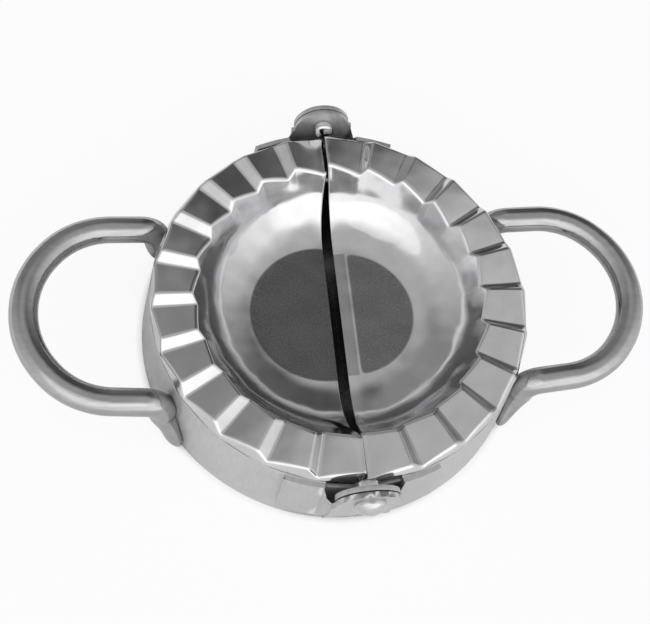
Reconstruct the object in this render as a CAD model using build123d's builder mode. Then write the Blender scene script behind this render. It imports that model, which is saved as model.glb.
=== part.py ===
"""Folding dumpling press: half bowls with pleated rims, round cutters, wire handles and a riveted hinge."""
import os
from math import asin, atan2, cos, degrees, hypot, pi, radians, sin, tan

from build123d import *

# Millimetres, +Z up, the press lying open on its cutting edges.
# The origin is on the table, under the middle of the line that the two halves fold about.
# The left half is at -X, the right half at +X, and the fold line runs along Y.

# Rim and bowl
rim_height = 24.6
bowl_radius = 36.4
flange_width = 11.1
bowl_depth = 13.8
bowl_flat_radius = 19.5
bowl_sheet = 0.9
mouth_drop = 0.85

# Pleats of the rim: each facet falls clockwise from high to low, then a short step climbs again
pleats_per_half = 12
pleat_half_rise = 1.15
step_share = 0.28
inner_bevel = 1.5
inner_shelf = 0.3
outer_bevel = 1.6
crown_drop = 1.3
lip_drop = 2.6
lip_shoulder_drop = 2.15
trim_overlap = 0.4
quarter_turn = 90

# Slit between the halves, a little wider at the bowl floor than at the rim
slit_half_top = 0.3
slit_half_floor = 1.4

# Cutter skirt, a flared strip under the rim
skirt_sheet = 1.0
skirt_ledge = 0.8
skirt_flare = 3.0
relief_half_width = 9.0
relief_depth = 2.0

# Hinge: the pins lie a little above the rim, so that the folded rims leave room for dough
axis_rise = 0.5
plate_sheet = 1.2
layer_gap = 0.35
ear_clearance = 1.7
ear_radius = 7.6
ear_centre_drop = 1.3
strip_width = 9.8
web_width = 1.4
front_plate_top_drop = 2.7
back_plate_top_drop = 1.0
plate_foot_height = 5.0
ear_base_half = 8.4
bend_drop = 8.0
notch_drop = 0.4
neck_split = 0.3
web_overlap = 0.3

# Rivets
pin_radius = 2.35
pin_running_gap = 0.06
head_radius = 3.75
head_height = 3.0
head_edge = 1.0
tail_radius = 2.6
tail_length = 2.2
tail_chamfer = 0.4

# Wire handles: one loop of round rod, used twice, that climbs away from the skirt
# Its corners are places on the loop, and its bends are rounded as far as the runs beside them allow
rod_radius = 3.45
handle_overhang = 29.9
handle_half_width = 23.1
handle_root_drop = 7.3
handle_tip_drop = 3.2
corner_length_share = 0.39
corner_width_share = 0.615
bend_run_share = 0.52
end_run_share = 0.47
front_run_share = 0.97

# Tongues: each rod end turned down round a heel and hammered flat against the skirt
heel_half_width = 24.0
heel_stand = 2.6
heel_drop = 5.5
heel_bend_radius = 4.6
# Each station: share of the heel's height, then shares of the rod's radius, which are
# its centre in front of the skirt, its half thickness, its half width and its drift away from the middle
tongue_shares = [
    (0.78, 0.58, 0.87, 1.19, 0.20),
    (0.56, 0.43, 0.72, 1.33, 0.45),
    (0.33, 0.32, 0.61, 1.33, 0.75),
    (0.15, 0.26, 0.52, 1.10, 0.90),
]

# Derived places
rim_radius = bowl_radius + flange_width
skirt_top_radius = rim_radius + skirt_ledge
skirt_foot_radius = skirt_top_radius + skirt_flare
floor_height = rim_height - bowl_depth
axis_height = rim_height + axis_rise
skirt_height = rim_height - lip_drop
pitch = 180 / pleats_per_half
half_step = pitch * step_share / 2
front_plate_top = rim_height - front_plate_top_drop
back_plate_top = rim_height - back_plate_top_drop
ear_centre_height = rim_height - ear_centre_drop
bend_height = rim_height - bend_drop
plate_near_x = ear_base_half + web_width
plate_far_x = plate_near_x + strip_width


def skirt_radius(height):
    """Outer radius of the flared skirt at a height above the table."""
    share = height / skirt_height
    return skirt_foot_radius + (skirt_top_radius - skirt_foot_radius) * share


def upright_plane(angle):
    """Plane through the Z axis whose local x points outwards at an angle from +X."""
    turn = radians(angle)
    return Plane(origin=(0, 0, 0), x_dir=(cos(turn), sin(turn), 0), z_dir=(sin(turn), -cos(turn), 0))


def rim_section(crest):
    """Outline of the pleated sheet in a plane through the Z axis, its flat top a crest above the mean rim."""
    mouth = rim_height - mouth_drop
    top = rim_height + crest
    under = top - bowl_sheet
    return [
        (bowl_radius - trim_overlap, mouth),
        (bowl_radius + inner_shelf, mouth),
        (bowl_radius + inner_shelf + inner_bevel, top),
        (rim_radius - outer_bevel, top),
        (rim_radius, rim_height - crown_drop),
        (rim_radius, rim_height - lip_drop),
        (rim_radius - bowl_sheet, rim_height - lip_drop),
        (rim_radius - bowl_sheet, rim_height - lip_shoulder_drop),
        (rim_radius - outer_bevel - trim_overlap, under),
        (bowl_radius + inner_shelf + inner_bevel + trim_overlap, under),
        (bowl_radius + bowl_sheet, mouth - bowl_sheet),
        (bowl_radius - trim_overlap, mouth - bowl_sheet),
    ]


def rim_stations():
    """Angles clockwise from the back of the right half, each with the height of the pleat there."""
    stations = [(-half_step, pleat_half_rise)]
    for index in range(pleats_per_half):
        stations.append((index * pitch + half_step, pleat_half_rise))
        stations.append(((index + 1) * pitch - half_step, -pleat_half_rise))
    stations.append((180 + half_step, -pleat_half_rise))
    return stations


def slit_wedge(side):
    """Corners, in a plane across the fold line, of the region on the far side of the slit."""
    reach = rim_radius + skirt_foot_radius
    slope = (slit_half_floor - slit_half_top) / bowl_depth
    foot = slit_half_top + slope * rim_height
    head = slit_half_top - slope * lip_drop
    above = rim_height + lip_drop
    return [(side * foot, 0), (side * head, above), (-side * reach, above), (-side * reach, 0)]


# Right half bowl: one pressed sheet, dished in the middle, its flange folded into saw-tooth pleats
with BuildPart() as right_bowl:
    for angle, crest in rim_stations():
        with BuildSketch(upright_plane(90 - angle)):
            Polygon(*rim_section(crest), align=None)
    loft(ruled=True)
    with BuildSketch(upright_plane(-90)):
        with BuildLine():
            wall = EllipticalCenterArc(
                (bowl_flat_radius, rim_height - mouth_drop),
                bowl_radius + bowl_sheet - bowl_flat_radius,
                bowl_depth - mouth_drop + bowl_sheet,
                start_angle=270,
                arc_size=quarter_turn,
            )
            Polyline(wall @ 1, (0, rim_height - mouth_drop), (0, floor_height - bowl_sheet), wall @ 0)
        make_face()
    revolve(axis=Axis.Z, revolution_arc=180)
    with BuildSketch(upright_plane(-90)):
        with BuildLine():
            dish = EllipticalCenterArc(
                (bowl_flat_radius, rim_height - mouth_drop),
                bowl_radius - bowl_flat_radius,
                bowl_depth - mouth_drop,
                start_angle=270,
                arc_size=quarter_turn,
            )
            Polyline(
                dish @ 1,
                (bowl_radius, rim_height + lip_drop),
                (0, rim_height + lip_drop),
                (0, floor_height),
                dish @ 0,
            )
        make_face()
    revolve(axis=Axis.Z, revolution_arc=360, mode=Mode.SUBTRACT)
    with BuildSketch(Plane.XZ):
        Polygon(*slit_wedge(1), align=None)
    extrude(amount=rim_radius * 2, both=True, mode=Mode.SUBTRACT)
right_bowl.part.label = "right_bowl"

# Left half bowl: the same pressing, turned half a turn
with BuildPart() as left_bowl:
    add(right_bowl.part.rotate(Axis.Z, 180))
left_bowl.part.label = "left_bowl"

# Right cutter skirt: a flared strip bent to a half ring, its bottom edge cuts the dough
# Both ends are cut down under the rim, which leaves room for the rim where the press folds
with BuildPart() as right_skirt:
    with BuildSketch(upright_plane(-90)):
        Polygon(
            (skirt_foot_radius, 0),
            (skirt_top_radius, skirt_height),
            (skirt_top_radius - skirt_sheet, skirt_height),
            (skirt_foot_radius - skirt_sheet, 0),
            align=None,
        )
    revolve(axis=Axis.Z, revolution_arc=180)
    with BuildSketch(Plane.XZ):
        with Locations((slit_half_top, 0)):
            Rectangle(skirt_foot_radius * 2, skirt_height * 3, align=(Align.MAX, Align.CENTER))
        with Locations((0, skirt_height - relief_depth)):
            Rectangle(relief_half_width, skirt_height, align=(Align.MIN, Align.MIN))
    extrude(amount=skirt_foot_radius * 2, both=True, mode=Mode.SUBTRACT)
right_skirt.part.label = "right_skirt"

# Left cutter skirt
with BuildPart() as left_skirt:
    add(right_skirt.part.rotate(Axis.Z, 180))
left_skirt.part.label = "left_skirt"


# Hinge plates: each hugs the skirt, bends forward beside it and ends in a flat round ear in front of the rim
far_angle = degrees(asin(plate_far_x / skirt_foot_radius))
near_angle = degrees(asin(plate_near_x / skirt_foot_radius))
join_angle = degrees(asin((plate_near_x + web_overlap) / skirt_foot_radius))
inner_back_y = skirt_radius(bend_height) + ear_clearance
outer_back_y = inner_back_y + plate_sheet + layer_gap
ear_face_y = outer_back_y + plate_sheet
foot_back_y = skirt_radius(plate_foot_height) + web_overlap / 2


def sheet_section(places, outwards):
    """Section of a sheet, from places down its back that each have a distance from the middle and a height."""
    face = [(outwards * (distance + plate_sheet), height) for distance, height in places]
    back = [(outwards * distance, height) for distance, height in reversed(places)]
    return face + back


def strip_section(heights):
    """Section of the strip that hugs the skirt, in a plane through the Z axis, between heights."""
    return sheet_section([(skirt_radius(height), height) for height in heights], 1)


def ear_neck(side, notch_height):
    """The neck under the ear, seen from the front, on one side of the fold line."""
    return [
        (side * neck_split, bend_height),
        (side * ear_base_half, bend_height),
        (side * ear_base_half, notch_height),
        (side * ear_radius, ear_centre_height),
        (side * neck_split, ear_centre_height),
    ]


def hinge_plate(side, ear_back_y, plate_top, hole_radius):
    """One front plate, at one side of the fold line: its strip, ear, neck, web and rivet hole."""
    first_angle = near_angle if side > 0 else -far_angle
    notch_height = plate_top - notch_drop
    bend = (ear_back_y, bend_height)
    foot = (foot_back_y, plate_foot_height)
    with BuildPart() as plate:
        with BuildSketch(upright_plane(270 + first_angle)):
            Polygon(*strip_section([plate_top, plate_foot_height]), align=None)
        revolve(axis=Axis.Z, revolution_arc=far_angle - near_angle)
        with BuildSketch(Plane.XZ.offset(ear_back_y)):
            with Locations((0, ear_centre_height)):
                Circle(ear_radius)
            Polygon(*ear_neck(side, notch_height), align=None)
        extrude(amount=plate_sheet)
        with BuildSketch(Plane.YZ.offset(side * neck_split)):
            Polygon(*sheet_section([bend, foot], -1), align=None)
        extrude(amount=side * (ear_base_half - neck_split))
        with BuildSketch(Plane.YZ.offset(side * (ear_base_half - web_overlap))):
            Polygon(*sheet_section([(ear_back_y, notch_height), bend, foot], -1), align=None)
        with BuildSketch(upright_plane(270 + side * join_angle)):
            Polygon(*strip_section([plate_top, bend_height, plate_foot_height]), align=None)
        loft(ruled=True)
        with BuildSketch(Plane.XZ):
            with Locations((0, axis_height)):
                Circle(hole_radius)
        extrude(amount=ear_face_y * 2, mode=Mode.SUBTRACT)
    return plate.part


# Left front hinge plate: its ear lies in the outer layer and holds the rivet fast
with BuildPart() as left_front_hinge_plate:
    add(hinge_plate(-1, outer_back_y, front_plate_top, pin_radius))
left_front_hinge_plate.part.label = "left_front_hinge_plate"

# Right front hinge plate: its ear lies in the inner layer and turns freely on the rivet
with BuildPart() as right_front_hinge_plate:
    add(hinge_plate(1, inner_back_y, front_plate_top, pin_radius + pin_running_gap))
right_front_hinge_plate.part.label = "right_front_hinge_plate"

# Back hinge plates: the front pair turned half a turn, bent up a little past the rim
with BuildPart() as right_back_hinge_plate:
    add(hinge_plate(-1, outer_back_y, back_plate_top, pin_radius).rotate(Axis.Z, 180))
right_back_hinge_plate.part.label = "right_back_hinge_plate"

with BuildPart() as left_back_hinge_plate:
    add(hinge_plate(1, inner_back_y, back_plate_top, pin_radius + pin_running_gap).rotate(Axis.Z, 180))
left_back_hinge_plate.part.label = "left_back_hinge_plate"

# Front rivet: domed head outside, shank through both ears, and a short upset tail that keeps the inner ear on
head_dome = head_height - head_edge
head_sphere_radius = (head_radius**2 + head_dome**2) / (2 * head_dome)
with BuildPart() as front_rivet:
    with BuildSketch(Plane.XY.offset(axis_height)):
        with BuildLine():
            crown = RadiusArc(
                (0, -ear_face_y - head_height),
                (head_radius, -ear_face_y - head_edge),
                -head_sphere_radius,
            )
            Polyline(
                crown @ 1,
                (head_radius, -ear_face_y),
                (pin_radius, -ear_face_y),
                (pin_radius, -inner_back_y + layer_gap),
                (tail_radius, -inner_back_y + layer_gap),
                (tail_radius, -inner_back_y + tail_length - tail_chamfer),
                (tail_radius - tail_chamfer, -inner_back_y + tail_length),
                (0, -inner_back_y + tail_length),
                crown @ 0,
            )
        make_face()
    revolve(axis=Axis((0, 0, axis_height), (0, 1, 0)), revolution_arc=360)
front_rivet.part.label = "front_rivet"

# Back rivet: the same, turned half a turn, fast in the right half's outer ear
with BuildPart() as back_rivet:
    add(front_rivet.part.rotate(Axis.Z, 180))
back_rivet.part.label = "back_rivet"


# Places along the handle
handle_reach = skirt_top_radius + handle_overhang
handle_root_height = rim_height - handle_root_drop
handle_tip_height = rim_height - handle_tip_drop
heel_height = handle_root_height - heel_drop
corner_length = handle_overhang * corner_length_share
corner_width = handle_half_width * corner_width_share
corner_run = hypot(corner_length, corner_width)
corner_turn = atan2(corner_width, corner_length)
front_half_run = handle_half_width - corner_width
end_run = min(corner_run * end_run_share, front_half_run * front_run_share)
bend_radius = corner_run * bend_run_share / tan(corner_turn / 2)
end_radius = end_run / tan((pi / 2 - corner_turn) / 2)


def rod_point(reach, half_width):
    """A point of the handle's centre line, on the plane that climbs away from the skirt."""
    share = (reach - skirt_top_radius) / handle_overhang
    return Vector(reach, half_width, handle_root_height + (handle_tip_height - handle_root_height) * share)


def skirt_turn(half_width, stand, height):
    """Angle from +X of a place in front of the skirt that lies at a distance from the middle plane."""
    return degrees(asin(half_width / (skirt_radius(height) + stand)))


def beside_skirt(turn, stand, height):
    """A point in front of the skirt, at an angle from +X and a height above the table."""
    return upright_plane(turn).x_dir * (skirt_radius(height) + stand) + Vector(0, 0, height)


heel_turn = skirt_turn(heel_half_width, heel_stand, handle_root_height)
rod_corners = [
    beside_skirt(-heel_turn, heel_stand, heel_height),
    beside_skirt(-heel_turn, heel_stand, handle_root_height),
    rod_point(handle_reach - corner_length, -handle_half_width),
    rod_point(handle_reach, -front_half_run),
    rod_point(handle_reach, front_half_run),
    rod_point(handle_reach - corner_length, handle_half_width),
    beside_skirt(heel_turn, heel_stand, handle_root_height),
    beside_skirt(heel_turn, heel_stand, heel_height),
]
rod_radii = [heel_bend_radius, bend_radius, end_radius, end_radius, bend_radius, heel_bend_radius]

# Right handle: one bent rod whose two ends are turned down and flattened into tongues on the skirt
with BuildPart() as right_handle:
    with BuildLine() as rod_line:
        FilletPolyline(*rod_corners, radius=rod_radii)
    with BuildSketch(Plane(origin=rod_line.line @ 0, z_dir=rod_line.line % 0)):
        Circle(rod_radius)
    sweep()
    for side, place in ((-1, 0), (1, 1)):
        outward = upright_plane(heel_turn * side).x_dir
        along = rod_line.line % place * side
        with BuildSketch(
            Plane(origin=rod_line.line @ place, x_dir=outward - along * outward.dot(along), z_dir=along)
        ):
            Ellipse(rod_radius, rod_radius)
        for height_share, stand_share, thickness_share, width_share, drift_share in tongue_shares:
            height = heel_height * height_share
            stand = rod_radius * stand_share
            turn = side * skirt_turn(heel_half_width + rod_radius * drift_share, stand, height)
            with BuildSketch(
                Plane(
                    origin=beside_skirt(turn, stand, height),
                    x_dir=upright_plane(turn).x_dir,
                    z_dir=(0, 0, -1),
                )
            ):
                Ellipse(rod_radius * thickness_share, rod_radius * width_share)
        loft()
    with BuildSketch(Plane.XZ):
        Polygon(
            (0, 0),
            (skirt_foot_radius, 0),
            (skirt_top_radius, skirt_height),
            (0, skirt_height),
            align=None,
        )
    revolve(axis=Axis.Z, revolution_arc=360, mode=Mode.SUBTRACT)
right_handle.part.label = "right_handle"

# Left handle: the same loop, turned half a turn
with BuildPart() as left_handle:
    add(right_handle.part.rotate(Axis.Z, 180))
left_handle.part.label = "left_handle"

os.makedirs("parts", exist_ok=True)
for body in (
    left_bowl,
    left_skirt,
    left_handle,
    left_front_hinge_plate,
    left_back_hinge_plate,
    front_rivet,
    right_bowl,
    right_skirt,
    right_handle,
    right_front_hinge_plate,
    right_back_hinge_plate,
    back_rivet,
):
    export_step(body.part, "parts/" + body.part.label + ".step")
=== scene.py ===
"""Folding dumpling press in stainless steel, lying open on a white table under soft studio light."""

from math import asin, cos, degrees, pi, radians, sin, tan

import bpy
from mathutils import Matrix, Vector


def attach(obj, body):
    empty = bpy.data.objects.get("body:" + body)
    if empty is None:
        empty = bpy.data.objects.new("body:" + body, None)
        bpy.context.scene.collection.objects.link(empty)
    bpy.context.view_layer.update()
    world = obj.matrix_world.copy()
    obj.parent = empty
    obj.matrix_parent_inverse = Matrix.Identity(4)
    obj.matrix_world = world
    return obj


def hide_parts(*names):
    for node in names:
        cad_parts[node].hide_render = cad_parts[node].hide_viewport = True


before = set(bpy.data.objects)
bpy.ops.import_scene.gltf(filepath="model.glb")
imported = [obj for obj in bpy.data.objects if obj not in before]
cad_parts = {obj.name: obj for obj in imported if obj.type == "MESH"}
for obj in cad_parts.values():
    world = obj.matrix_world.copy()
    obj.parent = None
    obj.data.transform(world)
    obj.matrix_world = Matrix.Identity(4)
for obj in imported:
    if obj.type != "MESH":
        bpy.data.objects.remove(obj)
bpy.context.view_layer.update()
mm = 0.001

# Half bowls: each is one pressing of polished stainless sheet, a dish with a flange folded into saw-tooth
# pleats. The two are the same pressing, one of them turned half a turn about the upright axis. Pressing
# leaves the facets a little uneven and slightly crowned, and the die leaves a matte patch on the floor.
rim_height = 24.6
rim_radius = 48.3
bowl_depth = 13.8
floor_height = rim_height - bowl_depth
flat_radius = 19.5
sheet = 0.9
wall_radius = 36.1
wall_height = 22.75
wall_slope = 60
wall_foot = 0.3
straight_from_radius = 35.3
straight_to_radius = 36.5
facet_outer_radius = 47.7
lip_top_height = 22.9
lip_height = 22.5
lip_inset = 0.1
inner_rounding = 0.8
outer_rounding = 0.7
lip_rounding = 0.3
pleats = 12
pleat_pitch = 180 / pleats
pleat_rise = 1.15
fold_softness = 0.7
slit_at_rim = 0.14
slit_at_floor = 1.4
margin_width = 3.6
margin_drop = 0.28
margin_fade = 3
edge_strip = 0.06

# The crown is how far the middle of a facet stands over a straight fall, and the lifts are how far its
# low end stays up, facet by facet clockwise from the slit. Both are shares of pleat_rise.
facet_crown = 0.13
left_lifts = (0, 0.3, 0.1, 0, 0.1, 0.2, 0.1, 0.1, 0.2, 0.1, 0, 0)
right_lifts = (0.2, 0.5, 0.3, 0.1, 0.4, 0.1, 0, 0.3, 0.2, 0.5, 0.3, 0.1)

# Where the mesh has its rings and rows: closest beside the slit and over the folds, wide on what is flat.
floor_rings = (2.4, 2.45, 2.8, 3.3, 3.9, 4.6, 5.5, 7, 10, 14.5)
dish_steps = 24
bend_steps = 6
fold_rows = (-1.25, -1, -0.65, -0.3, 0, 0.3, 0.65, 1, 1.25)
facet_rows = (0.15, 0.3, 0.45, 0.6, 0.75, 0.9)


def crest_at(turn, step_width, lifts):
    """Height of the folded flange over the mean rim, turn degrees clockwise round the half bowl."""
    half_step = step_width / 2
    total = 0.0
    readings = 11
    for index in range(readings):
        place = turn + (2 * index / (readings - 1) - 1) * fold_softness
        past = place % pleat_pitch
        facet = max(0, min(pleats - 1, int(place // pleat_pitch)))
        low_end = lifts[facet] - 1
        if place < half_step:
            level = 1
        elif place > 180 - half_step:
            level = low_end
        elif past < half_step:
            before = lifts[facet - 1] - 1
            level = (before + 1) / 2 + (1 - before) / 2 * past / half_step
        elif past > pleat_pitch - half_step:
            level = low_end + (1 - low_end) / 2 * (past - pleat_pitch + half_step) / half_step
        else:
            along = (past - half_step) / (pleat_pitch - step_width)
            level = 1 - (1 - low_end) * along + facet_crown * 4 * along * (1 - along)
        total += level * pleat_rise
    return total / readings


def straightened(turn, step_width):
    """Share of its radius that the flange keeps, turn degrees round: each facet's edges are straight."""
    half_facet = (pleat_pitch - step_width) / 2
    from_middle = turn % pleat_pitch - pleat_pitch / 2
    if abs(from_middle) > half_facet:
        return 1
    return cos(radians(half_facet)) / cos(radians(from_middle))


def rounded_line(corners, radii, steps):
    """Points of a bent line with rounded corners, and a point close outside each bend to keep it flat."""
    most_of_side = 0.42
    close_outside = 1.12
    line = [corners[0]]
    for before, corner, after, radius in zip(corners, corners[1:], corners[2:], radii):
        back = Vector(before) - Vector(corner)
        on = Vector(after) - Vector(corner)
        reach = min(radius, back.length * most_of_side, on.length * most_of_side)
        start = Vector(corner) + back.normalized() * reach
        end = Vector(corner) + on.normalized() * reach
        line.append(tuple(Vector(corner) + back.normalized() * reach * close_outside))
        for step in range(steps + 1):
            share = step / steps
            bend = start.lerp(Vector(corner), share).lerp(Vector(corner).lerp(end, share), share)
            line.append((bend.x, bend.y))
        line.append(tuple(Vector(corner) + on.normalized() * reach * close_outside))
    line.append(corners[-1])
    return line


def bowl_profile(crest, outer_slope, lip_follow):
    """Radius and height of the sheet's upper face from the middle out to the lip, at one crest height."""
    slope = radians(wall_slope)
    width = wall_radius - flat_radius
    height = wall_height - floor_height
    bend = (width * sin(slope) - height * cos(slope)) / (1 - cos(slope))
    line = []
    for radius in floor_rings:
        line.append((radius, floor_height))
    for step in range(dish_steps + 1):
        turn = slope * step / dish_steps
        line.append((flat_radius + bend * sin(turn), floor_height + bend * (1 - cos(turn))))
    top = rim_height + crest
    over = crest + pleat_rise
    corners = [
        (wall_radius - wall_foot, wall_height - wall_foot * tan(slope)),
        (wall_radius + (top - wall_height) / tan(slope), top),
        (facet_outer_radius - over * outer_slope, top),
        (rim_radius - lip_inset, lip_top_height + over * lip_follow),
        (rim_radius, lip_height),
    ]
    return line + rounded_line(corners, (inner_rounding, outer_rounding, lip_rounding), bend_steps)


def pleat_turns(step_width):
    """Angles across the half bowl, close together over each fold and wider on the flat of each facet."""
    half_step = step_width / 2
    turns = [180.0]
    for index in range(pleats):
        high = index * pleat_pitch
        turns.append(high)
        for corner in (half_step, pleat_pitch - half_step):
            for share in fold_rows:
                turns.append(high + corner + share * fold_softness)
        for share in facet_rows:
            turns.append(high + half_step + (pleat_pitch - step_width) * share)
    return sorted(turns)


def half_bowl(name, side, step_width, lifts, outer_slope, lip_follow):
    """One half bowl: the profile carried round clockwise from one end of the slit to the other."""
    rows = []
    points = []
    for turn in pleat_turns(step_width):
        row = []
        keep = straightened(turn, step_width)
        for radius, height in bowl_profile(crest_at(turn, step_width, lifts), outer_slope, lip_follow):
            depth_share = (rim_height - height) / bowl_depth
            cut = slit_at_rim + (slit_at_floor - slit_at_rim) * depth_share
            gap = degrees(asin(min(1, cut / radius)))
            angle = radians(90 - gap - (180 - 2 * gap) * turn / 180)
            past = (radius - straight_from_radius) / (straight_to_radius - straight_from_radius)
            drawn = radius * (1 - (1 - keep) * max(0, min(1, past)))
            reach = drawn * cos(angle)
            # The first two rings run straight along the slit, so that its edge has an even shine.
            if len(row) < 2:
                reach = min(reach, cut + edge_strip * len(row))
            x = max(cut, reach)
            y = drawn * sin(angle)
            # The margin beside the slit dips a little, and less so up the wall.
            from_cut = max(0, 1 - (x - cut) / margin_width)
            inside = max(0, min(1, (wall_radius - radius) / margin_fade))
            z = height - margin_drop * from_cut**2 * inside
            row.append(len(points))
            points.append((side * x * mm, side * y * mm, z * mm))
        rows.append(row)
    faces = []
    for row, following in zip(rows, rows[1:]):
        for index in range(len(row) - 1):
            faces.append((row[index], following[index], following[index + 1], row[index + 1]))
    mesh = bpy.data.meshes.new(name)
    mesh.from_pydata(points, [], faces)
    mesh.validate()
    mesh.shade_smooth()
    bowl = bpy.data.objects.new(name, mesh)
    bpy.context.scene.collection.objects.link(bowl)
    # The mesh is the sheet's upper face, so all of the thickness goes under it.
    thick = bowl.modifiers.new("sheet thickness", "SOLIDIFY")
    thick.thickness = sheet * mm
    thick.offset = -1
    thick.use_even_offset = True
    return bowl


def grey(level):
    """A plain solid grey."""
    return (level, level, level, 1)


def mottled(tree, place, scale, detail):
    """Cloudy unevenness of a finish, in marks about one metre divided by scale across."""
    noise = tree.nodes.new("ShaderNodeTexNoise")
    noise.inputs["Scale"].default_value = scale
    noise.inputs["Detail"].default_value = detail
    tree.links.new(place, noise.inputs["Vector"])
    return noise.outputs["Fac"]


def rescaled(tree, value, low, high, at_low=0, at_high=1, easing="LINEAR"):
    """Turns a value from low to high into one from at_low to at_high, held still beyond both ends."""
    span = tree.nodes.new("ShaderNodeMapRange")
    span.interpolation_type = easing
    span.inputs["From Min"].default_value = low
    span.inputs["From Max"].default_value = high
    span.inputs["To Min"].default_value = at_low
    span.inputs["To Max"].default_value = at_high
    tree.links.new(value, span.inputs["Value"])
    return span.outputs[0]


def worked_out(tree, operation, *values):
    """Works out one value from others, each of them a node's output or a plain number."""
    work = tree.nodes.new("ShaderNodeMath")
    work.operation = operation
    for socket, value in zip(work.inputs, values):
        if isinstance(value, bpy.types.NodeSocket):
            tree.links.new(value, socket)
        else:
            socket.default_value = value
    return work.outputs[0]


def two_tones(tree, value, low, low_colour, high, high_colour):
    """Colours a value: low_colour up to low, high_colour from high on, and a blend between the two."""
    tones = tree.nodes.new("ShaderNodeValToRGB")
    tones.color_ramp.elements[0].position = low
    tones.color_ramp.elements[0].color = low_colour
    tones.color_ramp.elements[1].position = high
    tones.color_ramp.elements[1].color = high_colour
    tree.links.new(value, tones.inputs[0])
    return tones.outputs[0]


# Depths, blurs and strips are millimetres, and scales are marks to the metre. The strips run along the
# patch's straight end, and the marks are the levels between which the cloudy unevenness mostly stays.
polish_dark = (0.6, 0.6, 0.61, 1)
polish_light = grey(0.68)
smooth_polish = 0.09
wiped_polish = 0.17
wipe_scale = 160
ripple_scale = 110
ripple_depth = 0.6
ripple_strength = 0.7
patch_roughness = 0.42
patch_speckle = 0.3
patch_grain_scale = 2600
patch_grain_depth = 0.06
patch_corner = 2.4
patch_blur = 0.25
patch_arc_blur = 0.3
bright_strip = 0.3
darker_strip = 0.8
darker_share = 0.6
marks_low = 0.3
marks_high = 0.75
wipe_high = 0.7


def polished_sheet(name, side, patch_middle, patch_radius, patch_edge, patch_tone):
    """Mirror-polished sheet with faint ripples, and a matte patch with a straight end at the slit."""
    material = bpy.data.materials.new(name)
    material.use_nodes = True
    tree = material.node_tree
    shader = tree.nodes["Principled BSDF"]
    shader.inputs["Metallic"].default_value = 1
    place = tree.nodes.new("ShaderNodeTexCoord").outputs["Object"]
    from_middle = tree.nodes.new("ShaderNodeVectorMath")
    from_middle.operation = "DISTANCE"
    from_middle.inputs[1].default_value = (patch_middle[0] * mm, patch_middle[1] * mm, floor_height * mm)
    tree.links.new(place, from_middle.inputs[0])
    axes = tree.nodes.new("ShaderNodeSeparateXYZ")
    tree.links.new(place, axes.inputs[0])
    past_arc = worked_out(tree, "SUBTRACT", from_middle.outputs["Value"], patch_radius * mm)
    past_edge = worked_out(tree, "MULTIPLY_ADD", axes.outputs["X"], -side, patch_edge * mm)
    outside = worked_out(tree, "SMOOTH_MAX", past_arc, past_edge, patch_corner * mm)
    matte = rescaled(tree, outside, patch_blur * mm, -patch_blur * mm)
    grain = mottled(tree, place, patch_grain_scale, detail=3)
    wipe = mottled(tree, place, wipe_scale, detail=4)
    ripple = mottled(tree, place, ripple_scale, detail=1)

    shine = rescaled(tree, wipe, marks_low, wipe_high, smooth_polish, wiped_polish)
    rough = tree.nodes.new("ShaderNodeMix")
    rough.inputs["B"].default_value = patch_roughness
    tree.links.new(matte, rough.inputs["Factor"])
    tree.links.new(shine, rough.inputs["A"])
    tree.links.new(rough.outputs["Result"], shader.inputs["Roughness"])

    speck_dark = grey(patch_tone * (1 - patch_speckle))
    speck_light = grey(patch_tone * (1 + patch_speckle))
    speckle = two_tones(tree, grain, marks_low, speck_dark, marks_high, speck_light)
    tone = two_tones(tree, wipe, marks_low, polish_dark, marks_high, polish_light)
    # The floor's colour is darker between the patch and the slit, but for a thin line at the patch that
    # keeps the full tone.
    beside_cut = rescaled(tree, past_edge, bright_strip * mm, darker_strip * mm, 1, darker_share)
    off_floor = rescaled(tree, past_arc, -patch_arc_blur * mm, patch_arc_blur * mm)
    darkened = tree.nodes.new("ShaderNodeVectorMath")
    darkened.operation = "SCALE"
    tree.links.new(tone, darkened.inputs[0])
    tree.links.new(worked_out(tree, "MAXIMUM", beside_cut, off_floor), darkened.inputs["Scale"])
    colour = tree.nodes.new("ShaderNodeMix")
    colour.data_type = "RGBA"
    tree.links.new(matte, colour.inputs["Factor"])
    tree.links.new(darkened.outputs[0], colour.inputs["A"])
    tree.links.new(speckle, colour.inputs["B"])
    tree.links.new(colour.outputs["Result"], shader.inputs["Base Color"])

    waves = tree.nodes.new("ShaderNodeBump")
    waves.inputs["Strength"].default_value = ripple_strength
    waves.inputs["Distance"].default_value = ripple_depth * mm
    tree.links.new(ripple, waves.inputs["Height"])
    sand = tree.nodes.new("ShaderNodeBump")
    sand.inputs["Distance"].default_value = patch_grain_depth * mm
    tree.links.new(grain, sand.inputs["Height"])
    tree.links.new(matte, sand.inputs["Strength"])
    tree.links.new(waves.outputs[0], sand.inputs["Normal"])
    tree.links.new(sand.outputs[0], shader.inputs["Normal"])
    return material


left_bowl = half_bowl(
    "left_pleated_bowl", side=-1, step_width=3.4, lifts=left_lifts, outer_slope=0.4, lip_follow=0.1
)
left_polish = polished_sheet(
    "left polished sheet",
    side=-1,
    patch_middle=(-3.4, 1.0),
    patch_radius=19.4,
    patch_edge=0.0,
    patch_tone=0.17,
)
right_bowl = half_bowl(
    "right_pleated_bowl", side=1, step_width=3.0, lifts=right_lifts, outer_slope=0.3, lip_follow=0.55
)
right_polish = polished_sheet(
    "right polished sheet",
    side=1,
    patch_middle=(3.5, 0.7),
    patch_radius=17.7,
    patch_edge=5.0,
    patch_tone=0.24,
)
for half, bowl, polish in (("left", left_bowl, left_polish), ("right", right_bowl, right_polish)):
    bowl.data.materials.append(polish)
    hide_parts(half + "_bowl")
    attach(bowl, half + "_half")

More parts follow.
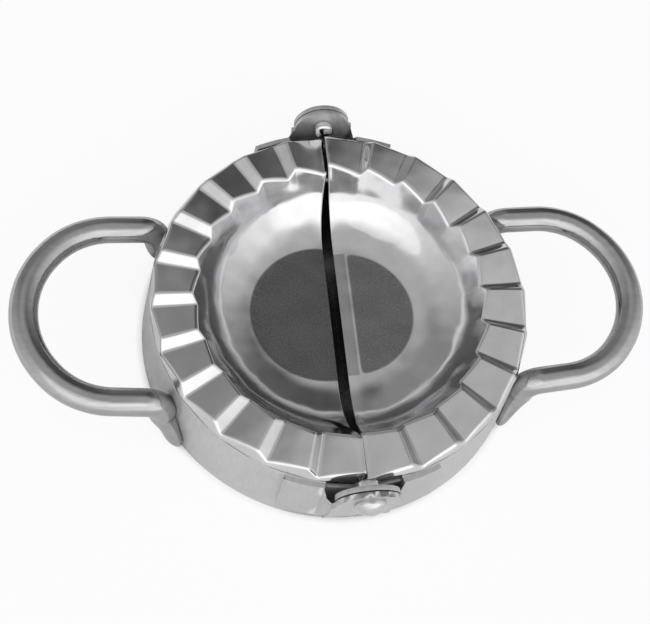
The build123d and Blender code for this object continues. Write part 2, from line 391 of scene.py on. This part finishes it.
# Cutter skirts: strips of satin stainless sheet, rolled to half rings that flare towards the table.
# They are spot welded under the flange, and their bottom edge cuts the dough.
cloud_scale = 90
cloud_share = 0.4
grain_strength = 0.5
streak_low = 0.35
streak_high = 0.65
streak_dark = (0.88, 0.88, 0.885)
streak_light = 1.06
streak_smooth = 0.8
streak_rough = 1.25


def brushed_steel(name, tone, roughness, grain_stretch, grain_scale, grain_depth, metal=1):
    """Stainless steel with a drawn grain: tone, roughness and a fine bump all follow the same streaks."""
    material = bpy.data.materials.new(name)
    material.use_nodes = True
    tree = material.node_tree
    shader = tree.nodes["Principled BSDF"]
    shader.inputs["Metallic"].default_value = metal
    place = tree.nodes.new("ShaderNodeTexCoord").outputs["Object"]
    drawn = tree.nodes.new("ShaderNodeMapping")
    drawn.inputs["Scale"].default_value = grain_stretch
    tree.links.new(place, drawn.inputs["Vector"])
    grain = mottled(tree, drawn.outputs[0], grain_scale, detail=5)
    cloud = mottled(tree, place, cloud_scale, detail=3)
    mixed = tree.nodes.new("ShaderNodeMix")
    mixed.inputs["Factor"].default_value = cloud_share
    tree.links.new(grain, mixed.inputs["A"])
    tree.links.new(cloud, mixed.inputs["B"])
    streak = mixed.outputs["Result"]
    dark = [tone * share for share in streak_dark] + [1]
    colour = two_tones(tree, streak, streak_low, dark, streak_high, grey(tone * streak_light))
    tree.links.new(colour, shader.inputs["Base Color"])
    smooth = roughness * streak_smooth
    rough = rescaled(tree, streak, streak_low, streak_high, smooth, roughness * streak_rough)
    tree.links.new(rough, shader.inputs["Roughness"])
    bump = tree.nodes.new("ShaderNodeBump")
    bump.inputs["Strength"].default_value = grain_strength
    bump.inputs["Distance"].default_value = grain_depth * mm
    tree.links.new(grain, bump.inputs["Height"])
    tree.links.new(bump.outputs[0], shader.inputs["Normal"])
    return material


def dress(node, material, edge, corner_angle, join=0.002):
    """Gives a frame node its finish, and breaks its sharp sheet edges."""
    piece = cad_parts[node]
    piece.data.materials.clear()
    piece.data.materials.append(material)
    for face in piece.data.polygons:
        face.material_index = 0
    weld = piece.modifiers.new("joined corners", "WELD")
    weld.merge_threshold = join * mm
    broken = piece.modifiers.new("broken edges", "BEVEL")
    broken.width = edge * mm
    broken.segments = 3
    broken.limit_method = "ANGLE"
    broken.angle_limit = radians(corner_angle)
    shading = piece.modifiers.new("even shading", "WEIGHTED_NORMAL")
    shading.keep_sharp = False


satin = brushed_steel(
    "satin skirt sheet",
    tone=0.56,
    roughness=0.45,
    grain_stretch=(1, 1, 0.06),
    grain_scale=1400,
    grain_depth=0.03,
    metal=0.6,
)
dress("left_skirt", satin, edge=0.2, corner_angle=40)
dress("right_skirt", satin, edge=0.2, corner_angle=40)

# Hinge plates: stamped stainless sheet, one end spot welded to the skirt and the other a flat round ear.
# The plates of a pair lap over each other: the left ear is the outer one in front, the right at the back.
hinge_sheet = brushed_steel(
    "stamped hinge sheet",
    tone=0.54,
    roughness=0.38,
    grain_stretch=(1, 0.4, 0.4),
    grain_scale=900,
    grain_depth=0.02,
    metal=0.75,
)
for node in (
    "left_front_hinge_plate",
    "left_back_hinge_plate",
    "right_front_hinge_plate",
    "right_back_hinge_plate",
):
    dress(node, hinge_sheet, edge=0.2, corner_angle=40, join=0.03)

# Rivets: turned stainless steel, a domed head outside and a short upset tail inside. Each is fast in the
# outer ear of its pair, and the inner ear runs on it.
rivet_steel = brushed_steel(
    "rivet steel",
    tone=0.6,
    roughness=0.16,
    grain_stretch=(1, 0.2, 1),
    grain_scale=700,
    grain_depth=0.01,
)
dress("front_rivet", rivet_steel, edge=0.15, corner_angle=40)
dress("back_rivet", rivet_steel, edge=0.15, corner_angle=40)

# Handles: loops of bright stainless rod, bent round to take two or three fingers. Their ends are turned
# down, hammered flat and welded to the skirts.
rod_steel = brushed_steel(
    "bent rod steel",
    tone=0.44,
    roughness=0.15,
    grain_stretch=(0.25, 1, 1),
    grain_scale=500,
    grain_depth=0.03,
)
dress("left_handle", rod_steel, edge=0.2, corner_angle=50)
dress("right_handle", rod_steel, edge=0.2, corner_angle=50)

# Table: a plain sweep of white paper. It shows white in the picture and in the steel, and keeps the
# press's shadow. Where the press covers it closely, painted shade makes its colour near black, so that
# the slit looks down into black.
table_half_side = 3000
paper_roughness = 0.9
open_paper = grey(0.93)
painted_shade_paper = grey(0.02)

# The paper's colour takes painted shade or stays white by the share of the room over it, out to this
# reach, that nothing blocks: near black below the first share, white above the second.
cover_reach = 30
covered_share = 0.42
open_share = 0.52

# Round the press the paper keeps its shadow, and it turns plain white at these distances from the middle,
# nearer in the picture than in the steel's mirror images.
white_from = 49
white_to = 53
white_share = 0.9
mirrored_from = 55
mirrored_to = 200
mirrored_share = 0.85
side = table_half_side * mm
table_corners = [(-side, -side, 0), (side, -side, 0), (side, side, 0), (-side, side, 0)]
table_mesh = bpy.data.meshes.new("table")
table_mesh.from_pydata(table_corners, [], [(0, 1, 2, 3)])
table = bpy.data.objects.new("table", table_mesh)
bpy.context.scene.collection.objects.link(table)
paper = bpy.data.materials.new("white paper")
paper.use_nodes = True
tree = paper.node_tree
matt_paper = tree.nodes["Principled BSDF"]
matt_paper.inputs["Roughness"].default_value = paper_roughness
above = tree.nodes.new("ShaderNodeAmbientOcclusion")
above.samples = 16
above.inputs["Distance"].default_value = cover_reach * mm
# Painted shade: the paper's colour turns near black where the press covers it closely, and stays white
# where it is open.
shade = two_tones(tree, above.outputs["AO"], covered_share, painted_shade_paper, open_share, open_paper)
tree.links.new(shade, matt_paper.inputs["Base Color"])
place = tree.nodes.new("ShaderNodeTexCoord").outputs["Object"]
distance = tree.nodes.new("ShaderNodeVectorMath")
distance.operation = "LENGTH"
tree.links.new(place, distance.inputs[0])
from_press = distance.outputs["Value"]
path = tree.nodes.new("ShaderNodeLightPath")
seen_white = rescaled(tree, from_press, white_from * mm, white_to * mm, 0, white_share)
mirrored_white = rescaled(tree, from_press, mirrored_from * mm, mirrored_to * mm, 0, mirrored_share)
seen = worked_out(tree, "MULTIPLY", path.outputs["Is Camera Ray"], seen_white)
mirrored = worked_out(tree, "MULTIPLY", path.outputs["Is Glossy Ray"], mirrored_white)
white_paper = tree.nodes.new("ShaderNodeEmission")
paper_mix = tree.nodes.new("ShaderNodeMixShader")
tree.links.new(worked_out(tree, "MAXIMUM", seen, mirrored), paper_mix.inputs[0])
tree.links.new(matt_paper.outputs[0], paper_mix.inputs[1])
tree.links.new(white_paper.outputs[0], paper_mix.inputs[2])
tree.links.new(paper_mix.outputs[0], tree.nodes["Material Output"].inputs["Surface"])
table_mesh.materials.append(paper)

# Studio: a bright wall behind the camera that falls away to a dim back wall, with a pale band at the
# horizon where the paper sweeps up. One large round soft lamp stands in front on the left.
# Heights are those of the direction looked in, from 0 at the horizon to 1 straight up.
wall_strength = 1.6
ceiling_level = 0.38
ceiling_from = 0.72
ceiling_to = 0.98
band_level = 0.8
band_top = 0.05
band_bottom = 0.01
left_wall_level = 0.48

# How bright the walls are, by degrees round the press: -90 in front, 0 on the right and 90 at the back.
wall_levels = (
    (-150, 0.62),
    (-130, 0.75),
    (-110, 0.8),
    (-90, 0.9),
    (-70, 1.0),
    (-50, 1.0),
    (-30, 0.75),
    (-10, 0.6),
    (10, 0.45),
    (30, 0.25),
    (50, 0.1),
    (70, 0.06),
    (90, 0.2),
    (110, 0.22),
    (130, 0.2),
    (150, 0.32),
    (165, 0.4),
)
world = bpy.data.worlds.new("studio")
bpy.context.scene.world = world
world.use_nodes = True
tree = world.node_tree
axes = tree.nodes.new("ShaderNodeSeparateXYZ")
tree.links.new(tree.nodes.new("ShaderNodeTexCoord").outputs["Generated"], axes.inputs[0])
heading = worked_out(tree, "ARCTAN2", axes.outputs["Y"], axes.outputs["X"])
walls = tree.nodes.new("ShaderNodeValToRGB")
stops = walls.color_ramp.elements
for degrees_round, level in wall_levels:
    stops.new(degrees_round / 360 + 0.5).color = grey(level)
stops[0].color = grey(left_wall_level)
stops[len(stops) - 1].color = grey(left_wall_level)
tree.links.new(rescaled(tree, heading, -pi, pi), walls.inputs[0])
ceiling = tree.nodes.new("ShaderNodeMix")
ceiling.data_type = "RGBA"
ceiling.inputs["B"].default_value = grey(ceiling_level)
overhead = rescaled(tree, axes.outputs["Z"], ceiling_from, ceiling_to, easing="SMOOTHSTEP")
tree.links.new(overhead, ceiling.inputs["Factor"])
tree.links.new(walls.outputs[0], ceiling.inputs["A"])
room = tree.nodes["Background"]
room.inputs["Strength"].default_value = wall_strength
tree.links.new(ceiling.outputs["Result"], room.inputs["Color"])
sweep = tree.nodes.new("ShaderNodeBackground")
sweep.inputs["Color"].default_value = grey(band_level)
path = tree.nodes.new("ShaderNodeLightPath")
shiny = worked_out(tree, "MAXIMUM", path.outputs["Is Glossy Ray"], path.outputs["Is Transmission Ray"])
band = worked_out(tree, "MULTIPLY", shiny, rescaled(tree, axes.outputs["Z"], band_top, band_bottom))
room_mix = tree.nodes.new("ShaderNodeMixShader")
tree.links.new(worked_out(tree, "MAXIMUM", path.outputs["Is Camera Ray"], band), room_mix.inputs[0])
tree.links.new(room.outputs[0], room_mix.inputs[1])
tree.links.new(sweep.outputs[0], room_mix.inputs[2])
tree.links.new(room_mix.outputs[0], tree.nodes["World Output"].inputs["Surface"])

lamp_width = 800
lamp_watts = 0.55
lamp_data = bpy.data.lights.new("soft box", "AREA")
lamp_data.shape = "DISK"
lamp_data.size = lamp_width * mm
lamp_data.energy = lamp_watts
lamp = bpy.data.objects.new("soft box", lamp_data)
bpy.context.scene.collection.objects.link(lamp)
lamp.location = (-280 * mm, -450 * mm, 550 * mm)
lamp_aim = Vector((0, 0, 10 * mm))
lamp.rotation_euler = (lamp_aim - lamp.location).to_track_quat("-Z", "Y").to_euler()

# Camera: above the front left of the press, turned a little about its own axis. Its place, its angles and
# its lens are those at which the pleat steps, the slit and the skirts' lower edge look as photographed.
camera_aim = Vector((-5.24, -5.09, 24.6)) * mm
camera_azimuth = radians(-21.38)
camera_elevation = radians(63.93)
camera_distance = 222.43 * mm
camera_roll = radians(16.97)
camera_lens = 49.43
back = Vector(
    (
        sin(camera_azimuth) * cos(camera_elevation),
        -cos(camera_azimuth) * cos(camera_elevation),
        sin(camera_elevation),
    )
)
camera_data = bpy.data.cameras.new("camera")
camera_data.lens = camera_lens
camera_data.sensor_width = 36
camera_data.clip_start = 0.01
camera_data.clip_end = 20
camera = bpy.data.objects.new("camera", camera_data)
bpy.context.scene.collection.objects.link(camera)
camera.location = camera_aim + back * camera_distance
turned = (-back).to_track_quat("-Z", "Y").to_matrix() @ Matrix.Rotation(camera_roll, 3, "Z")
camera.rotation_euler = turned.to_euler()
bpy.context.scene.camera = camera
bpy.context.scene.view_settings.view_transform = "Standard"
